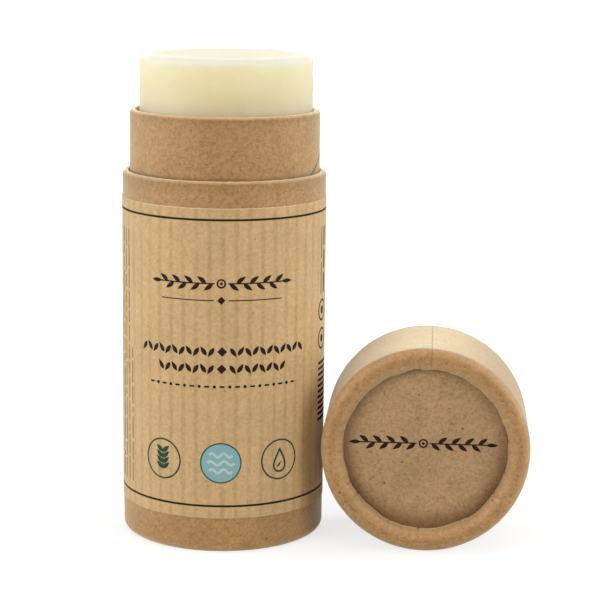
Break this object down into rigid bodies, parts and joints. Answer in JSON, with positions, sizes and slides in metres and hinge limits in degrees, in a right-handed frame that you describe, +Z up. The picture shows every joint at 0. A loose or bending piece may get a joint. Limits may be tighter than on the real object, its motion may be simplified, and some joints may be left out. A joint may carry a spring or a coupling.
{
  "type": "deodorant stick",
  "caption": "Push-up deodorant stick in a kraft board tube with rolled rims, a cream block raised out of its neck, and its cap lying beside it.",
  "frame": {"origin": "on the tube's axis, at the level of the surface that it stands on", "axes": "+Z up along the tube and the way the stick is pushed out; -Y towards the front of the label; +X towards the lying cap"},
  "size_m": [0.0775, 0.0399, 0.0903],
  "materials": {
    "kraft_board": "matte wound kraft board",
    "label_paper": "matte ribbed kraft paper",
    "deodorant": "satin waxy cream solid"
  },
  "bodies": {
    "tube": {"outer_tube": "kraft_board", "inner_tube": "kraft_board", "label": "label_paper", "cap_tube": "kraft_board", "cap_disc": "kraft_board"},
    "stick": {"deodorant_block": "deodorant", "push_ring": "kraft_board", "push_disc": "kraft_board"}
  },
  "joints": [
    {"name": "push_up", "type": "slide", "parent": "tube", "child": "stick", "axis": [0, 0, 1], "range_m": [-0.0154, 0.0538]}
  ]
}
